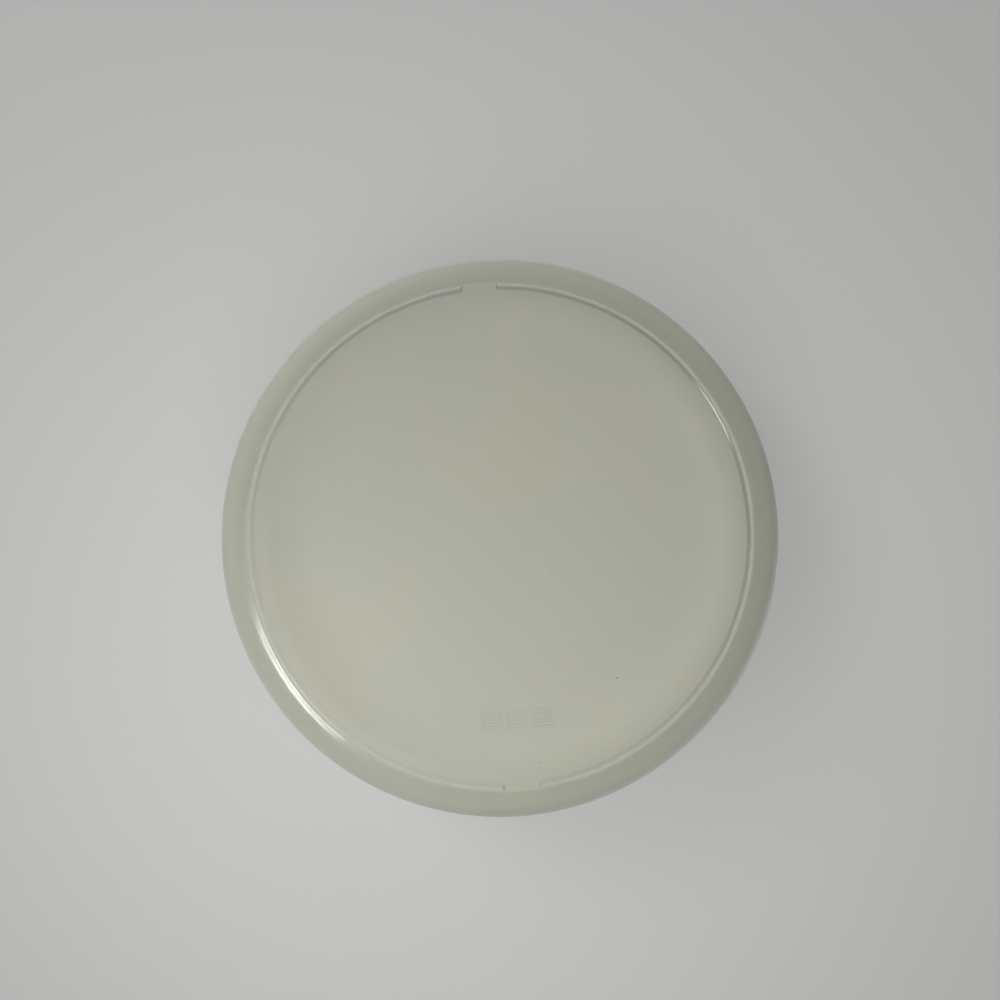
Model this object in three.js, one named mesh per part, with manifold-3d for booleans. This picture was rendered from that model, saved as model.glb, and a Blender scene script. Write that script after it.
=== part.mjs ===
// A round, shallow food storage container: a moulded plastic tub on a raised foot ring, and its press-on lid.
// Millimetres, +Z up. The origin is the middle of the plane that the foot ring stands on.
import * as THREE from "three";
import { mergeVertices } from "three/addons/utils/BufferGeometryUtils.js";
import Module from "manifold-3d";

// Tub: outside radius of the wall at the standing plane, height, draft of the wall, and thicknesses
const BASE_RADIUS = 126;
const TUB_HEIGHT = 95;
const WALL_DRAFT = THREE.MathUtils.degToRad(4);
const WALL = 2.2;
const BASE = 2.6;
const SHOULDER_ROUND = 17.5;

// Foot ring: a low bead under the base, broken by two opposite gaps on the Y axis
const FOOT_HEIGHT = 1.2;
const FOOT_WIDTH = 3.5;
const FOOT_EDGE_ROUND = 1;
const FOOT_GAP = 15.5;

// Dished base panel: raised in the middle, with a land inside the foot ring and a slope between the two
const PANEL_RISE = 3;
const DISH_LAND = 5.1;
const DISH_RUN = 14;
const DISH_INNER_ROUND = 75;
const DISH_OUTER_ROUND = 40;

// Nesting step: the wall widens below the lid's plug, so that empty tubs stack without jamming
const STEP_BELOW_PLUG = 9.3;
const STEP_OUT = 2;
const STEP_RUN = 2.5;
const STEP_ROUND = 3;

// Rim: a flange with a turned-down lip, which stands off the wall by a gap
const RIM_GAP = 3.7;
const RIM_THICKNESS = 2.4;
const LIP_DROP = 6;
const LIP_THICKNESS = 1.8;
const RIM_ROUND = 1.5;
const EDGE_ROUND = 0.6;

// Lid: a sunk panel inside the rim, a crown over it and a skirt outside it
const LID_WALL = 1.8;
const LID_RECESS = 9;
const SKIRT_BELOW_BEAD = 1.2;
const SKIRT_HEM = 1.2;
const SKIRT_HEM_HEIGHT = 2.2;
const CROWN_ROUND = 2.4;
const RECESS_ROUND = 2;
const SNAP_BEAD = 0.5;
const SNAP_BEAD_HEIGHT = 1.6;

// Stacking ridge on the lid, which the foot ring of another tub drops over
const RIDGE_WIDTH = 3;

// Lift tabs on the lid's skirt
const TAB_REACH = 9;
const TAB_WIDTH = 42;
const TAB_CORNER = 8;
const TAB_THICKNESS = 2;

// Clearances between the lid and the tub, and between the ridge and a stacked foot ring
const SEAT_CLEARANCE = 0.3;
const PLUG_CLEARANCE = 0.4;
const SNAP_CLEARANCE = 0.4;
const STACK_CLEARANCE = 0.8;

// Mesh fineness: steps round the axis, steps of a tab's corner, how far a chord may cut inside a rounded
// corner, and how close two points are one
const TURN_STEPS = 64;
const TAB_CORNER_STEPS = 5;
const CHORD_SAG = 0.18;
const WELD = 1e-4;

// Natural, slightly yellowed translucent plastic
const TUB_COLOUR = 0xc3c6b6;
const TUB_ROUGHNESS = 0.42;
const LID_COLOUR = 0xcdcfc2;
const LID_ROUGHNESS = 0.45;

const wasm = await Module();
wasm.setup();

// A geometry as a closed solid that can be joined and cut
function solidOf(geometry) {
  const bare = geometry.clone();
  bare.deleteAttribute("normal");
  bare.deleteAttribute("uv");
  const merged = mergeVertices(bare, WELD);
  return new wasm.Manifold(
    new wasm.Mesh({
      numProp: 3,
      vertProperties: new Float32Array(merged.attributes.position.array),
      triVerts: new Uint32Array(merged.index.array),
    }),
  );
}

// A solid as a geometry again
function geometryOf(solid) {
  const mesh = solid.getMesh();
  const geometry = new THREE.BufferGeometry();
  geometry.setAttribute("position", new THREE.BufferAttribute(mesh.vertProperties, 3));
  geometry.setIndex(new THREE.BufferAttribute(mesh.triVerts, 1));
  geometry.computeVertexNormals();
  return geometry;
}

// The angle at a corner of an outline, inside the bend
function openingAt(before, corner, after) {
  const cosine = before.clone().sub(corner).normalize().dot(after.clone().sub(corner).normalize());
  return Math.acos(THREE.MathUtils.clamp(cosine, -1, 1));
}

// The arc that rounds one corner, as points, from the length that it takes off each edge
function cornerArc(before, corner, after, tangent) {
  const opening = openingAt(before, corner, after);
  const turn = Math.PI - opening;
  const round = tangent * Math.tan(opening / 2);
  const steps = Math.ceil(turn / (2 * Math.acos(Math.max(0, 1 - CHORD_SAG / round))));
  const start = corner.clone().addScaledVector(before.clone().sub(corner).normalize(), tangent);
  const end = corner.clone().addScaledVector(after.clone().sub(corner).normalize(), tangent);
  const towardsCentre = start.clone().add(end).divideScalar(2).sub(corner).normalize();
  const centre = corner.clone().addScaledVector(towardsCentre, round / Math.sin(opening / 2));
  const way = Math.sign(start.clone().sub(centre).cross(end.clone().sub(centre)));
  const step = (way * turn) / steps;
  return Array.from({ length: steps + 1 }, (_, i) => start.clone().rotateAround(centre, step * i));
}

// An outline given as corners [radius, height, rounding]. Where an edge is too short for the roundings at
// its two ends, they share it.
function roundedOutline(corners) {
  const points = corners.map(([radius, height]) => new THREE.Vector2(radius, height));
  const wanted = corners.map(([, , round], i) =>
    round ? round / Math.tan(openingAt(points[i - 1], points[i], points[i + 1]) / 2) : 0,
  );
  const share = points.slice(1).map((point, i) => {
    const both = wanted[i] + wanted[i + 1];
    return both ? Math.min(1, point.distanceTo(points[i]) / both) : 1;
  });
  return points.flatMap((point, i) =>
    wanted[i]
      ? cornerArc(points[i - 1], point, points[i + 1], wanted[i] * Math.min(share[i - 1], share[i]))
      : [point],
  );
}

// A solid turned about +Z from an outline of radius and height, which runs anticlockwise
function turned(outline) {
  return solidOf(new THREE.LatheGeometry(outline, TURN_STEPS).rotateX(Math.PI / 2));
}

// Outside radius of the tub's wall at a height, below the nesting step
function wallOutside(height) {
  return BASE_RADIUS + height * Math.tan(WALL_DRAFT);
}

// Inside radius of the tub's wall at a height, above the nesting step
function mouthInside(height) {
  return wallOutside(height) + STEP_OUT - WALL;
}

// Heights and radii of the rim
const rimTop = TUB_HEIGHT;
const rimUnderside = rimTop - RIM_THICKNESS;
const rimOutside = mouthInside(rimTop) + WALL + RIM_GAP + LIP_THICKNESS;
const lipBottom = rimTop - LIP_DROP;

// Heights of the lid, which sits over the rim
const crownUnderside = rimTop + SEAT_CLEARANCE;
const lidTop = crownUnderside + LID_WALL;
const lidPanelTop = lidTop - LID_RECESS;
const lidPanelUnderside = lidPanelTop - LID_WALL;

// The foot ring stands where the shoulder's rounding leaves the base
const footMiddle = wallOutside(FOOT_HEIGHT) - SHOULDER_ROUND * Math.tan((Math.PI / 2 - WALL_DRAFT) / 2);
const footInside = footMiddle - FOOT_WIDTH / 2;
const footOutside = footMiddle + FOOT_WIDTH / 2;

// The tub without its foot ring: under the base, up the wall, over the rim and down the inside
function tubShell() {
  const panelUnderside = FOOT_HEIGHT + PANEL_RISE;
  const floor = FOOT_HEIGHT + BASE;
  const innerRound = SHOULDER_ROUND - BASE;
  const dishOutside = footInside - DISH_LAND;
  const panelRadius = dishOutside - DISH_RUN;
  const stepTop = lidPanelUnderside - STEP_BELOW_PLUG;
  const stepBottom = stepTop - STEP_RUN;
  return turned(
    roundedOutline([
      [0, panelUnderside],
      [panelRadius, panelUnderside, DISH_INNER_ROUND],
      [dishOutside, FOOT_HEIGHT, DISH_OUTER_ROUND],
      [wallOutside(FOOT_HEIGHT), FOOT_HEIGHT, SHOULDER_ROUND],
      [wallOutside(stepBottom), stepBottom, STEP_ROUND],
      [wallOutside(stepTop) + STEP_OUT, stepTop, STEP_ROUND],
      [wallOutside(rimUnderside) + STEP_OUT, rimUnderside, EDGE_ROUND],
      [rimOutside - LIP_THICKNESS, rimUnderside, EDGE_ROUND],
      [rimOutside - LIP_THICKNESS, lipBottom, EDGE_ROUND],
      [rimOutside, lipBottom, EDGE_ROUND],
      [rimOutside, rimTop, RIM_ROUND],
      [mouthInside(rimTop), rimTop, EDGE_ROUND],
      [mouthInside(stepTop), stepTop, STEP_ROUND],
      [wallOutside(stepBottom) - WALL, stepBottom, STEP_ROUND],
      [wallOutside(floor) - WALL, floor, innerRound],
      [dishOutside, floor, DISH_OUTER_ROUND],
      [panelRadius, panelUnderside + BASE, DISH_INNER_ROUND],
      [0, panelUnderside + BASE],
    ]),
  );
}

// The foot ring, rooted half way into the base, with its two gaps cut out
function footRing() {
  const root = FOOT_HEIGHT + BASE / 2;
  const ring = turned(
    roundedOutline([
      [footInside, root],
      [footInside, 0, FOOT_EDGE_ROUND],
      [footOutside, 0, FOOT_EDGE_ROUND],
      [footOutside, root],
      [footInside, root],
    ]),
  );
  const cutter = new THREE.BoxGeometry(FOOT_GAP, 2 * (footOutside + FOOT_WIDTH), 2 * (root + FOOT_HEIGHT));
  return ring.subtract(solidOf(cutter));
}

// The skirt hangs outside the rim's lip, with a snap bead just below it
const skirtInside = rimOutside + SNAP_CLEARANCE + SNAP_BEAD;
const skirtOutside = skirtInside + LID_WALL;
const beadTop = lipBottom - SNAP_CLEARANCE;
const beadBottom = beadTop - SNAP_BEAD_HEIGHT;
const skirtBottom = beadBottom - SKIRT_BELOW_BEAD;

// Outside radius of the lid's plug, which follows the draft of the mouth
function plugOutside(height) {
  return mouthInside(height) - PLUG_CLEARANCE;
}

// The lid without its tabs: over the top from the middle, down the skirt, up its inside and back under
function lidShell() {
  const ridgeOutside = footInside - STACK_CLEARANCE;
  const ridgeInside = ridgeOutside - RIDGE_WIDTH;
  const ridgeTop = lidPanelTop + FOOT_HEIGHT - SEAT_CLEARANCE;
  const hemTop = skirtBottom + SKIRT_HEM_HEIGHT;
  const topSide = roundedOutline([
    [0, lidPanelTop],
    [ridgeInside, lidPanelTop, EDGE_ROUND],
    [ridgeInside, ridgeTop, EDGE_ROUND],
    [ridgeOutside, ridgeTop, EDGE_ROUND],
    [ridgeOutside, lidPanelTop, EDGE_ROUND],
    [plugOutside(lidPanelTop) - LID_WALL, lidPanelTop, RECESS_ROUND],
    [plugOutside(lidTop) - LID_WALL, lidTop, EDGE_ROUND],
    [skirtOutside, lidTop, CROWN_ROUND],
    [skirtOutside, hemTop, EDGE_ROUND],
    [skirtOutside + SKIRT_HEM, hemTop, EDGE_ROUND],
    [skirtOutside + SKIRT_HEM, skirtBottom, EDGE_ROUND],
    [skirtInside, skirtBottom],
  ]);
  const underSide = roundedOutline([
    [skirtInside, beadBottom],
    [skirtInside - SNAP_BEAD, (beadBottom + beadTop) / 2],
    [skirtInside, beadTop],
    [skirtInside, crownUnderside, EDGE_ROUND],
    [plugOutside(crownUnderside), crownUnderside, EDGE_ROUND],
    [plugOutside(lidPanelUnderside), lidPanelUnderside, RECESS_ROUND],
    [0, lidPanelUnderside],
  ]);
  return turned([...topSide, ...underSide].reverse());
}

// One lift tab, on the side of the lid that faces +X, rooted in the skirt's wall
function liftTab() {
  const root = skirtOutside - LID_WALL / 2;
  const reach = skirtOutside + TAB_REACH;
  const half = TAB_WIDTH / 2;
  const plan = new THREE.Shape();
  plan.moveTo(0, -half);
  plan.lineTo(reach - TAB_CORNER, -half);
  plan.absarc(reach - TAB_CORNER, -half + TAB_CORNER, TAB_CORNER, -Math.PI / 2, 0, false);
  plan.absarc(reach - TAB_CORNER, half - TAB_CORNER, TAB_CORNER, 0, Math.PI / 2, false);
  plan.lineTo(0, half);
  const slab = new THREE.ExtrudeGeometry(plan, {
    depth: TAB_THICKNESS,
    bevelEnabled: false,
    curveSegments: TAB_CORNER_STEPS,
  });
  const inside = turned([
    new THREE.Vector2(0, -TAB_THICKNESS),
    new THREE.Vector2(root, -TAB_THICKNESS),
    new THREE.Vector2(root, 2 * TAB_THICKNESS),
    new THREE.Vector2(0, 2 * TAB_THICKNESS),
  ]);
  return solidOf(slab).subtract(inside).translate([0, 0, skirtBottom]);
}

// A named mesh of one plastic piece
function plasticPiece(name, solid, color, roughness) {
  const material = new THREE.MeshStandardMaterial({ color, roughness, metalness: 0 });
  const mesh = new THREE.Mesh(geometryOf(solid), material);
  mesh.name = name;
  return mesh;
}

const tub = tubShell().add(footRing());
const tab = liftTab();
const lid = lidShell().add(tab).add(tab.rotate([0, 0, 180]));

const container = new THREE.Group();
container.name = "round_food_container";
container.add(plasticPiece("tub", tub, TUB_COLOUR, TUB_ROUGHNESS));
container.add(plasticPiece("lid", lid, LID_COLOUR, LID_ROUGHNESS));

export default container;
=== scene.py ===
# Looks of a round food storage container: smooth moulded shells, marks on the base, plastics and a studio.
# Metres, +Z up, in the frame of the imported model.
import math
from collections import namedtuple

import bmesh
import bpy
from mathutils import Matrix, Vector


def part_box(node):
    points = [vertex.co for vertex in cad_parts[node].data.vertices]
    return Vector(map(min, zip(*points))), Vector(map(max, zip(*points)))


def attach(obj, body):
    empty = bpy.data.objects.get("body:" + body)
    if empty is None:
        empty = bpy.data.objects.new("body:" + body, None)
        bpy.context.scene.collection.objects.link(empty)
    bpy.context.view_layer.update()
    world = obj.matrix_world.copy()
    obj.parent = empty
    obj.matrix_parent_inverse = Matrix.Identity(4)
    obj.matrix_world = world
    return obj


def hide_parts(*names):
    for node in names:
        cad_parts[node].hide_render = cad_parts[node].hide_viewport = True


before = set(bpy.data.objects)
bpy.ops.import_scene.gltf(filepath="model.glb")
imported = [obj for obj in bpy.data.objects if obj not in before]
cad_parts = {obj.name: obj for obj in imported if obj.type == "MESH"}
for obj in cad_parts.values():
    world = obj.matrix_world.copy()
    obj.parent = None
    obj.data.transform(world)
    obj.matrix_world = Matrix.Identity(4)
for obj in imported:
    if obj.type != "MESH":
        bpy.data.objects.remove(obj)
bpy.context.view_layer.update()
tub_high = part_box("tub")[1]
lid_low, lid_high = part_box("lid")

MM = 0.001

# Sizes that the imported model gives
RIM_TOP = tub_high.z
RIM_OUTSIDE = tub_high.x
LID_TOP = lid_high.z
SKIRT_BOTTOM = lid_low.z
HEM_OUTSIDE = lid_high.y
TAB_TIP = lid_high.x

# Tub: draft of the wall and thicknesses
WALL_DRAFT = math.radians(4)
WALL = 2.2 * MM
BASE = 2.6 * MM
SHOULDER_ROUND = 17.5 * MM

# Foot ring: a low bead under the base, broken by two opposite gaps on the Y axis
FOOT_HEIGHT = 1.2 * MM
FOOT_WIDTH = 3.5 * MM
FOOT_GAP = 15.5 * MM
FOOT_NOSE = 0.9 * MM
FOOT_BOW = 0.5 * MM
FOOT_STEPS = 14

# Dished base panel
PANEL_RISE = 3 * MM
DISH_LAND = 5.1 * MM
DISH_RUN = 14 * MM
DISH_INNER_ROUND = 75 * MM
DISH_OUTER_ROUND = 40 * MM

# Nesting step in the wall
STEP_BELOW_PLUG = 9.3 * MM
STEP_OUT = 2 * MM
STEP_RUN = 2.5 * MM
STEP_ROUND = 3 * MM

# Rim
RIM_GAP = 3.7 * MM
RIM_THICKNESS = 2.4 * MM
LIP_DROP = 6 * MM
LIP_THICKNESS = 1.8 * MM
RIM_ROUND = 1.5 * MM
EDGE_ROUND = 0.6 * MM

# Lid
LID_WALL = 1.8 * MM
LID_RECESS = 9 * MM
SKIRT_HEM = 1.2 * MM
SKIRT_HEM_HEIGHT = 2.2 * MM
CROWN_ROUND = 2.4 * MM
RECESS_ROUND = 2 * MM
SNAP_BEAD = 0.5 * MM
SNAP_BEAD_HEIGHT = 1.6 * MM
SNAP_CLEARANCE = 0.4 * MM
PLUG_CLEARANCE = 0.4 * MM
RIDGE_WIDTH = 3 * MM
SEAT_CLEARANCE = 0.3 * MM
STACK_CLEARANCE = 0.8 * MM

# Mark that the moulding gate leaves in the middle of the lid: a dimple with a nub in it
GATE_RADIUS = 3.5 * MM
GATE_DEPTH = 0.35 * MM
NUB_RADIUS = 0.8 * MM
NUB_HEIGHT = 0.3 * MM
NUB_ROUND = NUB_HEIGHT / 3

# Lift tabs on the lid's skirt, with ribs across them for grip. The first rib's distance from the tip is
# in pitches.
TAB_WIDTH = 42 * MM
TAB_CORNER = 8 * MM
TAB_THICKNESS = 2 * MM
TAB_EDGE_ROUND = 0.5 * MM
TAB_STEPS = 12
RIB_COUNT = 3
RIB_PITCH = 2.2 * MM
RIB_FROM_TIP = 0.8
RIB_WIDTH = 1 * MM
RIB_HEIGHT = 0.4 * MM
RIB_INSET = 9 * MM
RIB_STEPS = 6

# Three hatched squares on the base, where a mould shows its date. A line's flat top is a share of its width.
SQUARE = 8.8 * MM
SQUARE_PITCH = 10.9 * MM
SQUARE_RADIUS = 81.6 * MM
SQUARE_COUNT = 3
HATCH_LINES = 7
LINE_WIDTH = 0.5 * MM
LINE_FLAT = 0.5
LINE_HEIGHT = 0.2 * MM
LINE_ROOT = 0.3 * MM
LINE_STEPS = 6

# Mesh fineness
TURN_STEPS = 240
GAP_STEPS = 16
EDGE_SEGMENTS = 3
CHORD_SAG = 0.008 * MM
LONGEST_EDGE = 7 * MM
SHARP_CORNER = math.radians(50)
WELD = 0.001 * MM

# Plastic: light passes through the low bead, so that its far side is the lit one. Painted shade darkens the
# colour where the plastic lies over the corner between base and wall. Pairs are where a change starts and
# ends.
BEAD_TILT = -0.45
BEAD_EDGE = 0.3 * MM
LAND_SHADE = 0.12
SHOULDER_SHADE = 0.36
SHOULDER_FADE = (-0.5 * MM, 1 * MM)
SHADE_HEIGHT_FADE = (14 * MM, 30 * MM)
PAINTED_SHADE_COLOUR = (0.31, 0.325, 0.245, 1)
PLASTIC_IOR = 1.49
SCATTER_WEIGHT = 0.9
SCATTER_DEPTH = 0.3 * MM
SCATTER_RADIUS = (1.0, 0.95, 0.75)
ROUGHER_CLOUDS = 0.05
ROUGHER_SCUFFS = 0.35

# Marks in the plastic: noise per metre with its detail, where it starts and is full, and how much shows
CLOUD_NOISE = (11.0, 3.0)
CLOUD_LEVELS = (0.3, 0.7)
PATCH_NOISE = (260.0, 4.0)
PATCH_LEVELS = (0.35, 0.7)
GRAIN_NOISE = (1500.0, 2.0)
GRAIN_STRENGTH = 0.12
GRAIN_DEPTH = 0.05 * MM
RIPPLE_NOISE = (45.0, 1.0)
RIPPLE_STRENGTH = 0.05
RIPPLE_DEPTH = 0.3 * MM
SCRATCH_STRETCH = (14, 900, 14)
SCRATCH_NOISE = (1.0, 0.0)
SCRATCH_LEVELS = (0.73, 0.8)
SCRATCH_TURNS = (0.5, 2.1)
SCRATCH_SHOW = 0.03
WEAR_SHOW = 0.15
WORN_COLOUR = (0.72, 0.72, 0.68, 1)
# Painted shade in the creases along the foot ring: how much, its fade from the edge, its fade at the gaps,
# its colour
CREASE_SHADE = 0.15
CREASE_FADE = (0.1 * MM, 0.5 * MM)
GAP_FADE = 1 * MM
CREASE_SHADE_COLOUR = (0.22, 0.21, 0.165, 1)
PALE_SPECKS = {"scale": 160.0, "size": 0.04, "rarity": 0.94}
PALE_SHOW = 0.5
DARK_SPECKS = {"scale": 110.0, "size": 0.035, "rarity": 0.95}
DARK_SHOW = 0.55
DARK_COLOUR = (0.12, 0.11, 0.08, 1)
SPECK_PICK = 0.01
SPECK_SOFT = 1.6

# Camera: the photograph is taken square on to the base, slightly off its axis
IMAGE_WIDTH = 1000
SENSOR = 36.0
LENS = 27.0
CLIP_START = 0.01
CAMERA_ROLL = math.radians(5)
CAMERA_TILT = math.radians(3.2)
SHOULDER_IN_VIEW = 279.2
CENTRE_BELOW_MIDDLE = 32.5
WIDEST_HEIGHT = 13.65 * MM

# Soft lamps under the base, turned about +Z and slanted off the axis
KEY_TURN = math.radians(220)
KEY_SLANT = math.radians(44)
KEY_DISTANCE = 1.1
KEY_SIZE = (0.4, 0.4)
KEY_POWER = 2.25
FILL_TURN = math.radians(121)
FILL_SLANT = math.radians(24)
FILL_DISTANCE = 0.35
FILL_SIZE = (0.4, 0.4)
FILL_POWER = 1.21

# Narrow beams under the base, which only show in the gloss of the foot ring: on its near and its far side
BEAM = math.radians(30)
STRIP_TURN = math.radians(150)
STRIP_SLANTS = (math.radians(32), math.radians(42.3))
STRIP_DISTANCE = 0.475
STRIP_SIZE = (0.23, 0.05)
STRIP_POWER = 0.022
GLINT_TURN = math.radians(157)
GLINT_SLANT = math.radians(68)
GLINT_DISTANCE = 0.6
GLINT_SIZE = (0.12, 0.2)
GLINT_POWER = 0.02

# Soft lamps above the lid
TOP_FROM = Vector((-0.45, -0.6, 0.75))
TOP_SIZE = (1.5, 1.5)
TOP_POWER = 5.0
SIDE_FROM = Vector((0.5, 0.45, 0.75))
SIDE_SIZE = (1.1, 1.1)
SIDE_POWER = 8.0
BACK_FROM = Vector((-0.5, 0.5, 0.7))
BACK_POWER = 4.0
ABOVE_DISTANCE = 1.1

# Surroundings, and a stage of pale paper that fades into them
SKY_FROM = Vector((-0.15, -0.75, 0.6))
SKY_DARK = 0.145
SKY_BRIGHT = 0.9
SKY_START = -0.3
SKY_END = 0.8
AIR_COLOUR = (1, 1, 0.985, 1)
BACKGROUND = 0.62
STAGE_SIZE = 8.0
STAGE_GAP = 0.3 * MM
STAGE_COLOUR = (0.45, 0.45, 0.44, 1)
STAGE_GLOW = 0.18
HIDDEN_RADIUS = 118 * MM
FADE_START = 0.35
FADE_END = 1.5


def opening_at(before, corner, after):
    """The angle at a corner of an outline, inside the bend"""
    return (before - corner).angle(after - corner)


def corner_arc(before, corner, after, tangent):
    """The arc that rounds one corner, from the length that it takes off each edge"""
    opening = opening_at(before, corner, after)
    turn = math.pi - opening
    radius = tangent * math.tan(opening / 2)
    steps = math.ceil(turn / (2 * math.acos(1 - CHORD_SAG / radius)))
    start = corner + (before - corner).normalized() * tangent
    end = corner + (after - corner).normalized() * tangent
    inward = ((start + end) / 2 - corner).normalized()
    centre = corner + inward * (radius / math.sin(opening / 2))
    arm = start - centre
    way = math.copysign(1, arm.cross(end - centre))
    return [centre + Matrix.Rotation(way * turn * i / steps, 2) @ arm for i in range(steps + 1)]


def split_long_edges(points):
    """The same outline with its long straight edges cut into shorter ones"""
    parts = [points[0]]
    for start, end in zip(points, points[1:]):
        pieces = max(1, math.ceil((end - start).length / LONGEST_EDGE))
        parts += [start.lerp(end, i / pieces) for i in range(1, pieces + 1)]
    return parts


def rounded_outline(corners):
    """An outline given as corners (radius, height, rounding), with shared edges shared out"""
    points = [Vector(corner[:2]) for corner in corners]
    wanted = [0.0] * len(corners)
    for i, corner in enumerate(corners):
        if len(corner) > 2:
            wanted[i] = corner[2] / math.tan(opening_at(*points[i - 1:i + 2]) / 2)
    share = []
    for i in range(len(points) - 1):
        both = wanted[i] + wanted[i + 1]
        share.append(min(1, (points[i + 1] - points[i]).length / both) if both else 1)
    outline = []
    for i, point in enumerate(points):
        if wanted[i]:
            outline += corner_arc(*points[i - 1:i + 2], wanted[i] * min(share[i - 1], share[i]))
        else:
            outline.append(point)
    return split_long_edges(outline)


def even_angles():
    """Steps all the way round"""
    return [math.tau * i / TURN_STEPS for i in range(TURN_STEPS)]


def plan_arc(middle, radius, first, turn, steps):
    """Points of an arc in plan, from a first angle through a turn"""
    angles = [first + turn * i / steps for i in range(steps + 1)]
    return [middle + radius * Vector((math.cos(angle), math.sin(angle))) for angle in angles]


def skin(bm, rings):
    """Faces between closed rings of points, some of which may be a single point"""
    for lower, upper in zip(rings, rings[1:]):
        count = max(len(lower), len(upper))
        for i in range(count):
            j = (i + 1) % count
            corners = ((lower, i), (lower, j), (upper, j), (upper, i))
            loop = [ring[number % len(ring)] for ring, number in corners]
            bm.faces.new(list(dict.fromkeys(loop)))


def turned(name, outline, angles, drop=None):
    """A closed mesh turned about +Z from an outline that starts and ends on the axis.
    drop(radius, height, angle) lowers a point of it."""
    bm = bmesh.new()
    rings = []
    for radius, height in outline:
        if radius < WELD:
            rings.append([bm.verts.new((0, 0, height))])
            continue
        ring = []
        for angle in angles:
            lowered = drop(radius, height, angle) if drop else 0
            place = (radius * math.cos(angle), radius * math.sin(angle), height - lowered)
            ring.append(bm.verts.new(place))
        rings.append(ring)
    skin(bm, rings)
    bmesh.ops.recalc_face_normals(bm, faces=bm.faces)
    return mesh_object(name, bm)


def mesh_object(name, bm):
    """A smooth-shaded object of a finished bmesh"""
    mesh = bpy.data.meshes.new(name)
    bm.to_mesh(mesh)
    bm.free()
    mesh.shade_smooth()
    piece = bpy.data.objects.new(name, mesh)
    bpy.context.scene.collection.objects.link(piece)
    return piece


def join_solid(piece, other, crossing=False):
    """Joins another closed mesh, or one of closed parts that cross, into a piece and removes it"""
    union = piece.modifiers.new("join", "BOOLEAN")
    union.operation = "UNION"
    union.solver = "EXACT"
    union.use_self = crossing
    union.object = other
    depsgraph = bpy.context.evaluated_depsgraph_get()
    joined = bpy.data.meshes.new_from_object(piece.evaluated_get(depsgraph))
    piece.modifiers.clear()
    piece.data = joined
    bpy.data.objects.remove(other)


def even_shading(piece):
    """Keeps flats flat beside the small roundings, and corners crisp"""
    piece.data.set_sharp_from_angle(angle=SHARP_CORNER)
    weighted = piece.modifiers.new("even_shading", "WEIGHTED_NORMAL")
    weighted.mode = "FACE_AREA"
    weighted.keep_sharp = True


# Radii and heights of the tub
base_radius = RIM_OUTSIDE - LIP_THICKNESS - RIM_GAP - STEP_OUT - RIM_TOP * math.tan(WALL_DRAFT)


def wall_outside(height):
    """Outside radius of the tub's wall at a height, below the nesting step"""
    return base_radius + height * math.tan(WALL_DRAFT)


def mouth_inside(height):
    """Inside radius of the tub's wall at a height, above the nesting step"""
    return wall_outside(height) + STEP_OUT - WALL


rim_underside = RIM_TOP - RIM_THICKNESS
lip_bottom = RIM_TOP - LIP_DROP
lid_panel_top = LID_TOP - LID_RECESS
lid_panel_underside = lid_panel_top - LID_WALL
foot_middle = wall_outside(FOOT_HEIGHT) - SHOULDER_ROUND * math.tan((math.pi / 2 - WALL_DRAFT) / 2)
foot_inside = foot_middle - FOOT_WIDTH / 2
foot_outside = foot_middle + FOOT_WIDTH / 2
panel_underside = FOOT_HEIGHT + PANEL_RISE
dish_outside = foot_inside - DISH_LAND
panel_radius = dish_outside - DISH_RUN
step_top = lid_panel_underside - STEP_BELOW_PLUG
step_bottom = step_top - STEP_RUN

under_base = rounded_outline([
    (0, panel_underside),
    (panel_radius, panel_underside, DISH_INNER_ROUND),
    (dish_outside, FOOT_HEIGHT, DISH_OUTER_ROUND),
    (wall_outside(FOOT_HEIGHT), FOOT_HEIGHT, SHOULDER_ROUND),
    (wall_outside(step_bottom), step_bottom),
])


def underside_at(radius):
    """Height of the base's underside at a radius, without the foot ring"""
    for start, end in zip(under_base, under_base[1:]):
        if start.x <= radius <= end.x:
            return start.lerp(end, (radius - start.x) / (end.x - start.x)).y
    return under_base[0].y


def tub_outline():
    """Under the base with close steps for the foot ring, up the wall, over the rim and down the inside"""
    floor = FOOT_HEIGHT + BASE
    inner = [point for point in under_base[:-1] if point.x < foot_inside]
    outer = [point for point in under_base[:-1] if point.x > foot_outside]
    bead = []
    for i in range(FOOT_STEPS + 1):
        radius = foot_middle - FOOT_WIDTH / 2 * math.cos(math.pi * i / FOOT_STEPS)
        bead.append(Vector((radius, underside_at(radius))))
    upper = rounded_outline([
        (wall_outside(step_bottom / 2), step_bottom / 2),
        (wall_outside(step_bottom), step_bottom, STEP_ROUND),
        (wall_outside(step_top) + STEP_OUT, step_top, STEP_ROUND),
        (wall_outside(rim_underside) + STEP_OUT, rim_underside, EDGE_ROUND),
        (RIM_OUTSIDE - LIP_THICKNESS, rim_underside, EDGE_ROUND),
        (RIM_OUTSIDE - LIP_THICKNESS, lip_bottom, EDGE_ROUND),
        (RIM_OUTSIDE, lip_bottom, EDGE_ROUND),
        (RIM_OUTSIDE, RIM_TOP, RIM_ROUND),
        (mouth_inside(RIM_TOP), RIM_TOP, EDGE_ROUND),
        (mouth_inside(step_top), step_top, STEP_ROUND),
        (wall_outside(step_bottom) - WALL, step_bottom, STEP_ROUND),
        (wall_outside(floor) - WALL, floor, SHOULDER_ROUND - BASE),
        (dish_outside, floor, DISH_OUTER_ROUND),
        (panel_radius, panel_underside + BASE, DISH_INNER_ROUND),
        (0, panel_underside + BASE),
    ])
    outer = [point for point in outer if point.y < step_bottom / 2]
    return inner + bead + outer + upper


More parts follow.
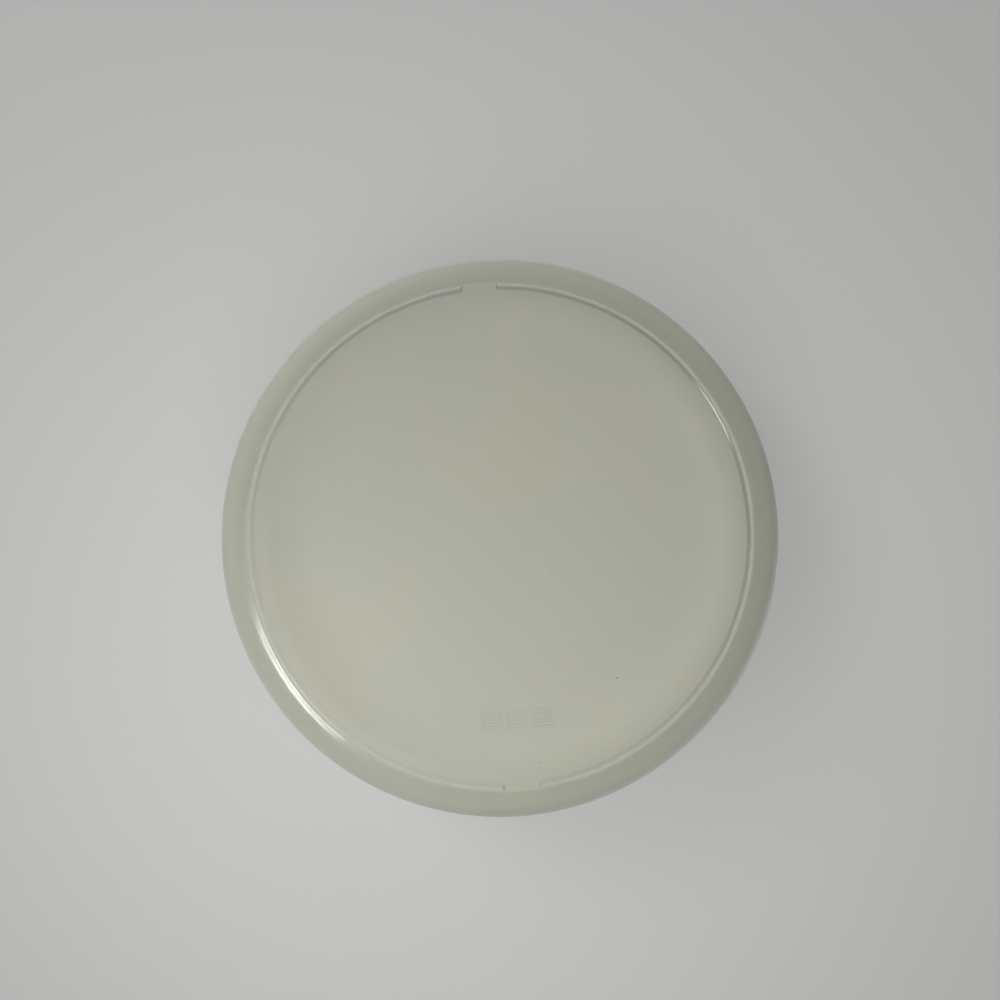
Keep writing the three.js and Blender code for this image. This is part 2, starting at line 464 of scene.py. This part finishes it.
def foot_drop(radius, height, angle):
    """How far the foot ring stands down at a point of the base: a round-topped bead with round ends"""
    across = abs(radius - foot_middle) / (FOOT_WIDTH / 2)
    if across >= 1 or height > panel_underside:
        return 0
    from_gap = abs(math.remainder(angle - math.pi / 2, math.pi)) * foot_middle - FOOT_GAP / 2
    behind_nose = from_gap - FOOT_BOW * across ** 4
    along = min(max(behind_nose / FOOT_NOSE, 0), 1)
    return height * math.cos(math.pi / 2 * across) ** 2 * math.sqrt(1 - (1 - along) ** 2)


def gap_angles():
    """Even steps, with closer ones at the four ends of the foot ring"""
    first = FOOT_GAP / 2 / foot_middle
    last = (FOOT_GAP / 2 + FOOT_BOW + FOOT_NOSE) / foot_middle
    close = [first + (last - first) * i / GAP_STEPS for i in range(GAP_STEPS + 1)]
    ends = []
    for middle in (math.pi / 2, 3 * math.pi / 2):
        for side in (-1, 1):
            ends += [middle + side * step for step in close]
    least = (last - first) / GAP_STEPS / 2
    even = [angle for angle in even_angles() if min(abs(angle - end) for end in ends) > least]
    return sorted(even + ends)


def lid_outline():
    """Over the top from the middle, down the skirt, up its inside and back under"""
    skirt_outside = HEM_OUTSIDE - SKIRT_HEM
    skirt_inside = skirt_outside - LID_WALL
    crown_underside = LID_TOP - LID_WALL
    bead_top = lip_bottom - SNAP_CLEARANCE
    bead_bottom = bead_top - SNAP_BEAD_HEIGHT
    hem_top = SKIRT_BOTTOM + SKIRT_HEM_HEIGHT
    ridge_outside = foot_inside - STACK_CLEARANCE
    ridge_inside = ridge_outside - RIDGE_WIDTH
    ridge_top = lid_panel_top + FOOT_HEIGHT - SEAT_CLEARANCE
    gate_floor = lid_panel_top - GATE_DEPTH

    def plug_outside(height):
        return mouth_inside(height) - PLUG_CLEARANCE

    return rounded_outline([
        (0, gate_floor + NUB_HEIGHT),
        (NUB_RADIUS, gate_floor + NUB_HEIGHT, NUB_ROUND),
        (NUB_RADIUS, gate_floor, NUB_ROUND),
        (GATE_RADIUS - GATE_DEPTH, gate_floor, GATE_DEPTH),
        (GATE_RADIUS, lid_panel_top, GATE_DEPTH),
        (ridge_inside, lid_panel_top, EDGE_ROUND),
        (ridge_inside, ridge_top, EDGE_ROUND),
        (ridge_outside, ridge_top, EDGE_ROUND),
        (ridge_outside, lid_panel_top, EDGE_ROUND),
        (plug_outside(lid_panel_top) - LID_WALL, lid_panel_top, RECESS_ROUND),
        (plug_outside(LID_TOP) - LID_WALL, LID_TOP, EDGE_ROUND),
        (skirt_outside, LID_TOP, CROWN_ROUND),
        (skirt_outside, hem_top, EDGE_ROUND),
        (HEM_OUTSIDE, hem_top, EDGE_ROUND),
        (HEM_OUTSIDE, SKIRT_BOTTOM, EDGE_ROUND),
        (skirt_inside, SKIRT_BOTTOM, EDGE_ROUND / 2),
        (skirt_inside, bead_bottom, EDGE_ROUND),
        (skirt_inside - SNAP_BEAD, (bead_bottom + bead_top) / 2, EDGE_ROUND),
        (skirt_inside, bead_top, EDGE_ROUND),
        (skirt_inside, crown_underside, EDGE_ROUND),
        (plug_outside(crown_underside), crown_underside, EDGE_ROUND),
        (plug_outside(lid_panel_underside), lid_panel_underside, RECESS_ROUND),
        (0, lid_panel_underside),
    ])


def slab(name, plan, bottom, top, edge_round):
    """A flat plate of an outline in plan, with its edges rounded"""
    bm = bmesh.new()
    face = bm.faces.new([bm.verts.new((x, y, bottom)) for x, y in plan])
    grown = bmesh.ops.extrude_face_region(bm, geom=[face])
    raised = [part for part in grown["geom"] if isinstance(part, bmesh.types.BMVert)]
    bmesh.ops.translate(bm, verts=raised, vec=(0, 0, top - bottom))
    bmesh.ops.recalc_face_normals(bm, faces=bm.faces)
    level = [edge for edge in bm.edges if abs(edge.verts[0].co.z - edge.verts[1].co.z) < WELD]
    bmesh.ops.bevel(bm, geom=level, offset=edge_round, segments=EDGE_SEGMENTS, profile=0.5, affect="EDGES")
    return mesh_object(name, bm)


def tab_plan(side):
    """Outline of one lift tab, from inside the skirt's wall to its rounded tip"""
    root = HEM_OUTSIDE - SKIRT_HEM - LID_WALL / 2
    half = TAB_WIDTH / 2
    spread = math.asin(half / root)
    plan = plan_arc(Vector((0, 0)), root, spread, -2 * spread, TAB_STEPS)
    for way, first in ((-1, -math.pi / 2), (1, 0)):
        middle = Vector((TAB_TIP - TAB_CORNER, way * (half - TAB_CORNER)))
        plan += plan_arc(middle, TAB_CORNER, first, math.pi / 2, TAB_STEPS)
    return [side * point for point in plan]


def rib_plan(side, number):
    """Outline of one grip rib across a tab, with round ends"""
    middle = TAB_TIP - RIB_PITCH * (number + RIB_FROM_TIP)
    half = TAB_WIDTH / 2 - RIB_INSET
    plan = []
    for way, first in ((-1, -math.pi), (1, 0)):
        plan += plan_arc(Vector((middle, way * half)), RIB_WIDTH / 2, first, math.pi, RIB_STEPS)
    return [side * point for point in plan]


def base_line(bm, start, end):
    """A low line standing on the base's underside, rooted in it, between two points in plan"""
    along = (end - start).normalized()
    across = Vector((-along.y, along.x)) * LINE_WIDTH / 2
    profile = [(-1, LINE_ROOT), (-1, -LINE_HEIGHT / 2), (-LINE_FLAT, -LINE_HEIGHT)]
    profile += [(-side, drop) for side, drop in reversed(profile)]
    loops = []
    for i in range(LINE_STEPS + 1):
        middle = start.lerp(end, i / LINE_STEPS)
        loop = []
        for side, drop in profile:
            place = middle + across * side
            loop.append(bm.verts.new((place.x, place.y, underside_at(place.length) + drop)))
        loops.append(loop)
    skin(bm, loops)
    bm.faces.new(loops[0])
    bm.faces.new(loops[-1])


def date_squares():
    """Three hatched squares side by side, near the foot ring on the +Y side"""
    bm = bmesh.new()
    half = SQUARE / 2
    for number in range(SQUARE_COUNT):
        middle = Vector(((number - (SQUARE_COUNT - 1) / 2) * SQUARE_PITCH, SQUARE_RADIUS))
        for side in (-half, half):
            base_line(bm, middle + Vector((side, -half)), middle + Vector((side, half)))
        for line in range(HATCH_LINES):
            level = SQUARE * ((line + 0.5) / HATCH_LINES - 0.5)
            base_line(bm, middle + Vector((-half, level)), middle + Vector((half, level)))
    bmesh.ops.recalc_face_normals(bm, faces=bm.faces)
    return mesh_object("date_squares", bm)


def add_node(tree, kind, **settings):
    """A shader node with its properties set"""
    node = tree.nodes.new(kind)
    for name, value in settings.items():
        setattr(node, name, value)
    return node


def put(tree, socket, value):
    """Sets an input to a value, or links it to another node's output"""
    if isinstance(value, bpy.types.NodeSocket):
        tree.links.new(value, socket)
    else:
        socket.default_value = value


def feed(tree, node, **values):
    """Sets a node's inputs by name, with _ for a space, and gives the node back"""
    for name, value in values.items():
        put(tree, node.inputs[name.replace("_", " ")], value)
    return node


def feed_in_order(tree, node, *values):
    """Sets a node's first inputs and gives the node back"""
    for socket, value in zip(node.inputs, values):
        put(tree, socket, value)
    return node


def remap(tree, value, low, high, to_low=0.0, to_high=1.0):
    """A value brought from one range to another, smoothly and held at the ends"""
    node = add_node(tree, "ShaderNodeMapRange", interpolation_type="SMOOTHSTEP")
    feed(tree, node, Value=value, From_Min=low, From_Max=high, To_Min=to_low, To_Max=to_high)
    return node.outputs["Result"]


def arithmetic(tree, operation, *values):
    """One sum of one or two values"""
    node = add_node(tree, "ShaderNodeMath", operation=operation)
    return feed_in_order(tree, node, *values).outputs[0]


def product(tree, first, *others):
    """Values multiplied together"""
    for value in others:
        first = arithmetic(tree, "MULTIPLY", first, value)
    return first


def apart(tree, first, second):
    """How far two values are from each other"""
    return arithmetic(tree, "ABSOLUTE", arithmetic(tree, "SUBTRACT", first, second))


def vector_sum(tree, operation, *vectors):
    """One sum of one or two vectors that gives a vector"""
    node = add_node(tree, "ShaderNodeVectorMath", operation=operation)
    return feed_in_order(tree, node, *vectors).outputs["Vector"]


def vector_measure(tree, operation, *vectors):
    """One sum of one or two vectors that gives a value"""
    node = add_node(tree, "ShaderNodeVectorMath", operation=operation)
    return feed_in_order(tree, node, *vectors).outputs["Value"]


def blend_colour(tree, amount, first, second):
    """A colour between two others"""
    node = add_node(tree, "ShaderNodeMix", data_type="RGBA")
    for name, value in (("Factor_Float", amount), ("A_Color", first), ("B_Color", second)):
        put(tree, next(entry for entry in node.inputs if entry.identifier == name), value)
    return next(entry for entry in node.outputs if entry.identifier == "Result_Color")


def blend_shaders(tree, amount, first, second):
    """A shader between two others"""
    return feed_in_order(tree, add_node(tree, "ShaderNodeMixShader"), amount, first, second).outputs[0]


def bump(tree, height, strength, distance, **normal):
    """A normal that follows a height, on top of another normal where one is given"""
    node = add_node(tree, "ShaderNodeBump")
    feed(tree, node, Height=height, Strength=strength, Distance=distance, **normal)
    return node.outputs["Normal"]


def noise(tree, point, scale, detail):
    """Fractal noise at a scale per metre"""
    node = add_node(tree, "ShaderNodeTexNoise")
    return feed(tree, node, Vector=point, Scale=scale, Detail=detail).outputs["Fac"]


def scratches(tree, point, turn):
    """Fine straight scratches in one direction"""
    stretched = add_node(tree, "ShaderNodeMapping")
    feed(tree, stretched, Vector=point, Rotation=(0, 0, turn), Scale=SCRATCH_STRETCH)
    return remap(tree, noise(tree, stretched.outputs["Vector"], *SCRATCH_NOISE), *SCRATCH_LEVELS)


def specks(tree, point, scale, size, rarity):
    """Small round specks, in a few cells of a scattered pattern"""
    cells = feed(tree, add_node(tree, "ShaderNodeTexVoronoi"), Vector=point, Scale=scale)
    chosen = feed(tree, add_node(tree, "ShaderNodeSeparateColor"), Color=cells.outputs["Color"])
    picked = remap(tree, chosen.outputs["Red"], rarity, rarity + SPECK_PICK)
    spot = remap(tree, cells.outputs["Distance"], size, size * SPECK_SOFT, 1.0, 0.0)
    return product(tree, picked, spot)


Place = namedtuple("Place", "point x radius height")


def object_place(tree):
    """Where a point is on the object: its coordinates, X, distance from the axis and height"""
    point = add_node(tree, "ShaderNodeTexCoord").outputs["Object"]
    parts = feed(tree, add_node(tree, "ShaderNodeSeparateXYZ"), Vector=point).outputs
    radius = vector_measure(tree, "LENGTH", vector_sum(tree, "MULTIPLY", point, (1, 1, 0)))
    return Place(point, parts["X"], radius, parts["Z"])


def outside_of_base(tree, place):
    """1 on the outside of the base around the foot ring, and 0 on its inside"""
    return remap(tree, place.height, FOOT_HEIGHT + BASE / 5, FOOT_HEIGHT + BASE / 2, 1.0, 0.0)


def leaning_normal(tree, place):
    """The surface's normal, leant the other way on the foot ring's bead"""
    from_middle = apart(tree, place.radius, foot_middle)
    near = remap(tree, from_middle, FOOT_WIDTH / 2, FOOT_WIDTH / 2 + BEAD_EDGE, 1.0, 0.0)
    bead = product(tree, near, outside_of_base(tree, place))
    tilt = remap(tree, bead, 0.0, 1.0, 1.0, BEAD_TILT)
    lean = feed(tree, add_node(tree, "ShaderNodeCombineXYZ"), X=tilt, Y=tilt, Z=1.0).outputs["Vector"]
    normal = add_node(tree, "ShaderNodeNewGeometry").outputs["Normal"]
    return vector_sum(tree, "NORMALIZE", vector_sum(tree, "MULTIPLY", normal, lean))


def painted_edge_shade(tree, place):
    """Painted shade: how much darker the colour is made, none in the dish, some on the land and most on the
    shoulder
    """
    land = remap(tree, place.radius, panel_radius + DISH_RUN / 2, dish_outside, 0.0, LAND_SHADE)
    before, after = SHOULDER_FADE
    shoulder = remap(tree, place.radius, foot_outside + before, foot_outside + after, 0.0, SHOULDER_SHADE)
    near_base = remap(tree, place.height, *SHADE_HEIGHT_FADE, 1.0, 0.0)
    return product(tree, arithmetic(tree, "ADD", land, shoulder), near_base)


def crease_shade(tree, place):
    """Painted shade along both edges of the foot ring, where its creases are, and none in its gaps"""
    from_edge = apart(tree, apart(tree, place.radius, foot_middle), FOOT_WIDTH / 2)
    crease = remap(tree, from_edge, *CREASE_FADE, CREASE_SHADE, 0.0)
    from_gaps = apart(tree, place.x, 0.0)
    beside_gap = remap(tree, from_gaps, FOOT_GAP / 2, FOOT_GAP / 2 + GAP_FADE)
    return product(tree, crease, beside_gap, outside_of_base(tree, place))


def scuff_marks(tree, place, patches, worn_below):
    """Wear on the crest that the piece stands on, and fine scratches all over"""
    crest = remap(tree, place.height, 0.0, worn_below, 1.0, 0.0)
    worn = product(tree, crest, patches, WEAR_SHOW)
    lines = arithmetic(tree, "MAXIMUM", *[scratches(tree, place.point, turn) for turn in SCRATCH_TURNS])
    return arithmetic(tree, "ADD", worn, product(tree, lines, SCRATCH_SHOW))


def plastic_colour(tree, place, body, patches, scuffs):
    """The body's colour, with painted shade on the land, the shoulder and the foot ring's creases, and with
    wear and specks
    """
    # Painted shade: the colour darkens on the land and most on the shoulder, near the base
    edge_shaded = blend_colour(tree, painted_edge_shade(tree, place), body, PAINTED_SHADE_COLOUR)
    pale = product(tree, specks(tree, place.point, **PALE_SPECKS), PALE_SHOW)
    paled = blend_colour(tree, arithmetic(tree, "MAXIMUM", scuffs, pale), edge_shaded, WORN_COLOUR)
    # Painted shade: darker lines in the creases along both edges of the foot ring, in patches
    crease_shading = product(tree, crease_shade(tree, place), patches)
    crease_shaded = blend_colour(tree, crease_shading, paled, CREASE_SHADE_COLOUR)
    dark = product(tree, specks(tree, place.point, **DARK_SPECKS), DARK_SHOW)
    return blend_colour(tree, dark, crease_shaded, DARK_COLOUR)


def moulded_plastic(name, clear, aged, satin, coat, coat_rough, coat_below, worn_below):
    """Milky polypropylene: cloudy, slightly yellowed, finely scratched, with a few specks.
    It is satin, with a clear gloss outside the dish and below one height, and scuffed pale below another."""
    material = bpy.data.materials.new(name)
    material.use_nodes = True
    material.cycles.use_bump_map_correction = False
    tree = material.node_tree
    place = object_place(tree)
    clouds = remap(tree, noise(tree, place.point, *CLOUD_NOISE), *CLOUD_LEVELS)
    patches = remap(tree, noise(tree, place.point, *PATCH_NOISE), *PATCH_LEVELS)
    scuffs = scuff_marks(tree, place, patches, worn_below)
    colour = plastic_colour(tree, place, blend_colour(tree, clouds, clear, aged), patches, scuffs)
    cloudy = remap(tree, clouds, 0.0, 1.0, satin, satin + ROUGHER_CLOUDS)
    rough = arithmetic(tree, "ADD", cloudy, product(tree, scuffs, ROUGHER_SCUFFS))

    dish = remap(tree, place.radius, dish_outside, foot_inside, 1.0, 0.0)
    grain = product(tree, noise(tree, place.point, *GRAIN_NOISE), dish)
    fine = bump(tree, grain, GRAIN_STRENGTH, GRAIN_DEPTH, Normal=leaning_normal(tree, place))
    wavy = bump(tree, noise(tree, place.point, *RIPPLE_NOISE), RIPPLE_STRENGTH, RIPPLE_DEPTH)
    low = remap(tree, place.height, coat_below / 2, coat_below, coat, 0.0)
    glossy = product(tree, low, arithmetic(tree, "SUBTRACT", 1.0, dish))

    shader = tree.nodes["Principled BSDF"]
    feed(tree, shader, Base_Color=colour, Roughness=rough, IOR=PLASTIC_IOR, Normal=fine)
    feed(tree, shader, Coat_Weight=glossy, Coat_Roughness=coat_rough, Coat_IOR=PLASTIC_IOR, Coat_Normal=wavy)
    feed(tree, shader, Subsurface_Weight=SCATTER_WEIGHT, Subsurface_Scale=SCATTER_DEPTH)
    feed(tree, shader, Subsurface_Radius=SCATTER_RADIUS)
    return material


def stage_material():
    """Pale paper that takes shadows and fades into the background. It shows on its front side only,
    and gloss on the base sees past it."""
    material = bpy.data.materials.new("pale_stage")
    material.use_nodes = True
    tree = material.node_tree
    tree.nodes.clear()
    paper = feed(tree, add_node(tree, "ShaderNodeBsdfDiffuse"), Color=STAGE_COLOUR).outputs[0]
    glow = feed(tree, add_node(tree, "ShaderNodeEmission"), Strength=STAGE_GLOW).outputs[0]
    lit = feed_in_order(tree, add_node(tree, "ShaderNodeAddShader"), paper, glow).outputs[0]
    air = add_node(tree, "ShaderNodeEmission")
    feed(tree, air, Color=AIR_COLOUR, Strength=BACKGROUND)
    distance = vector_measure(tree, "LENGTH", add_node(tree, "ShaderNodeTexCoord").outputs["Object"])
    far = remap(tree, distance, FADE_START, FADE_END)
    faded = blend_shaders(tree, far, lit, air.outputs[0])
    under = arithmetic(tree, "LESS_THAN", distance, HIDDEN_RADIUS)
    reflected = add_node(tree, "ShaderNodeLightPath").outputs["Is Glossy Ray"]
    behind = add_node(tree, "ShaderNodeNewGeometry").outputs["Backfacing"]
    unseen = arithmetic(tree, "MAXIMUM", behind, product(tree, under, reflected))
    clear = add_node(tree, "ShaderNodeBsdfTransparent").outputs[0]
    output = add_node(tree, "ShaderNodeOutputMaterial")
    feed(tree, output, Surface=blend_shaders(tree, unseen, faded, clear))
    return material


def stage_plane(name, height, facing, material):
    """A plane of the stage that faces up (1) or down (-1), and neither blocks nor gives light"""
    half = STAGE_SIZE / 2
    plan = [(-half, -half), (half, -half), (half, half), (-half, half)]
    bm = bmesh.new()
    bm.faces.new([bm.verts.new((x, y, height)) for x, y in plan[::facing]])
    plane = mesh_object(name, bm)
    plane.data.materials.append(material)
    plane.visible_shadow = False
    plane.visible_diffuse = False
    plane.visible_transmission = False


def from_below(turn, slant):
    """Direction towards a lamp under the base: turned about +Z, and slanted off the axis"""
    return Vector((math.sin(slant) * math.cos(turn), math.sin(slant) * math.sin(turn), -math.cos(slant)))


def on_foot(turn):
    """A place on the foot ring"""
    return foot_middle * Vector((math.cos(turn), math.sin(turn), 0))


def lamp(name, source, distance, target, size, power, diffuse=True, gloss=True, spread=math.pi):
    """A soft lamp of a width and height that points at a target"""
    light = bpy.data.lights.new(name, "AREA")
    light.shape = "RECTANGLE"
    light.size, light.size_y = size
    light.energy = power
    light.spread = spread
    holder = bpy.data.objects.new(name, light)
    holder.location = target + source.normalized() * distance
    holder.rotation_mode = "QUATERNION"
    holder.rotation_quaternion = (-source).to_track_quat("-Z", "Y")
    holder.visible_camera = False
    holder.visible_diffuse = diffuse
    holder.visible_glossy = gloss
    bpy.context.scene.collection.objects.link(holder)


def lamps():
    """Light for the base from below, highlights on its foot ring, and light for the rest from above"""
    base = Vector((0, 0, 0))
    lamp("key", from_below(KEY_TURN, KEY_SLANT), KEY_DISTANCE, base, KEY_SIZE, KEY_POWER, gloss=False)
    lamp("fill", from_below(FILL_TURN, FILL_SLANT), FILL_DISTANCE, base, FILL_SIZE, FILL_POWER, gloss=False)
    near = on_foot(STRIP_TURN)
    for slant in STRIP_SLANTS:
        source = from_below(STRIP_TURN, slant)
        lamp("strip", source, STRIP_DISTANCE, near, STRIP_SIZE, STRIP_POWER, diffuse=False, spread=BEAM)
    far = -on_foot(GLINT_TURN)
    source = from_below(GLINT_TURN, GLINT_SLANT)
    lamp("glint", source, GLINT_DISTANCE, far, GLINT_SIZE, GLINT_POWER, diffuse=False, spread=BEAM)
    top = Vector((0, 0, LID_TOP))
    lamp("top", TOP_FROM, ABOVE_DISTANCE, top, TOP_SIZE, TOP_POWER)
    lamp("side", SIDE_FROM, ABOVE_DISTANCE, top, SIDE_SIZE, SIDE_POWER)
    lamp("back", BACK_FROM, ABOVE_DISTANCE, top, SIDE_SIZE, BACK_POWER)


def surroundings():
    """Pale light that grows towards one side from above, with an even background for the camera"""
    world = bpy.data.worlds.new("studio")
    bpy.context.scene.world = world
    world.use_nodes = True
    tree = world.node_tree
    direction = add_node(tree, "ShaderNodeTexCoord").outputs["Generated"]
    towards = vector_measure(tree, "DOT_PRODUCT", direction, SKY_FROM.normalized())
    sky = remap(tree, towards, SKY_START, SKY_END, SKY_DARK, SKY_BRIGHT)
    seen = add_node(tree, "ShaderNodeLightPath").outputs["Is Camera Ray"]
    pick = feed(tree, add_node(tree, "ShaderNodeMix"), Factor=seen, A=sky, B=BACKGROUND)
    feed(tree, tree.nodes["Background"], Color=AIR_COLOUR, Strength=pick.outputs["Result"])


def photograph_camera():
    """A camera under the base that sees it as the photograph does"""
    data = bpy.data.cameras.new("photograph")
    data.sensor_width = SENSOR
    data.lens = LENS
    data.clip_start = CLIP_START
    focal = LENS / SENSOR * IMAGE_WIDTH
    depth = wall_outside(WIDEST_HEIGHT) * focal / SHOULDER_IN_VIEW
    right = Vector((math.cos(CAMERA_ROLL), math.sin(CAMERA_ROLL), 0))
    level_up = Vector((math.sin(CAMERA_ROLL), -math.cos(CAMERA_ROLL), 0))
    axis = Vector((0, 0, 1))
    forward = math.cos(CAMERA_TILT) * axis + math.sin(CAMERA_TILT) * level_up
    up = math.cos(CAMERA_TILT) * level_up - math.sin(CAMERA_TILT) * axis
    middle = Vector((0, 0, WIDEST_HEIGHT))
    camera = bpy.data.objects.new("photograph", data)
    place = middle - depth * forward + depth * CENTRE_BELOW_MIDDLE / focal * up
    camera.matrix_world = Matrix.Translation(place) @ Matrix((right, up, -forward)).transposed().to_4x4()
    bpy.context.scene.collection.objects.link(camera)
    bpy.context.scene.camera = camera


# Materials
tub_plastic = moulded_plastic(
    "tub_plastic",
    clear=(0.452, 0.47, 0.408, 1),
    aged=(0.474, 0.472, 0.396, 1),
    satin=0.45,
    coat=1.0,
    coat_rough=0.11,
    coat_below=11 * MM,
    worn_below=0.5 * MM,
)
lid_plastic = moulded_plastic(
    "lid_plastic",
    clear=(0.49, 0.505, 0.45, 1),
    aged=(0.51, 0.51, 0.435, 1),
    satin=0.5,
    coat=0.6,
    coat_rough=0.3,
    coat_below=4 * LID_TOP,
    worn_below=0.5 * MM,
)

# Tub
tub = turned("tub_shell", tub_outline(), gap_angles(), foot_drop)
join_solid(tub, date_squares(), crossing=True)
even_shading(tub)
tub.data.materials.append(tub_plastic)
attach(tub, "tub_body")
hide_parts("tub")

# Lid
lid = turned("lid_shell", lid_outline(), even_angles())
tab_top = SKIRT_BOTTOM + TAB_THICKNESS
for side in (1, -1):
    join_solid(lid, slab("tab", tab_plan(side), SKIRT_BOTTOM, tab_top, TAB_EDGE_ROUND))
    for number in range(RIB_COUNT):
        plan = rib_plan(side, number)
        rib = slab("rib", plan, tab_top - TAB_EDGE_ROUND, tab_top + RIB_HEIGHT, RIB_HEIGHT / 2)
        join_solid(lid, rib)
even_shading(lid)
lid.data.materials.append(lid_plastic)
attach(lid, "lid_body")
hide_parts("lid")

# Studio
paper = stage_material()
stage_plane("floor", -STAGE_GAP, 1, paper)
stage_plane("backdrop", LID_TOP + STAGE_GAP, -1, paper)
lamps()
surroundings()
photograph_camera()
bpy.context.scene.view_settings.view_transform = "Standard"
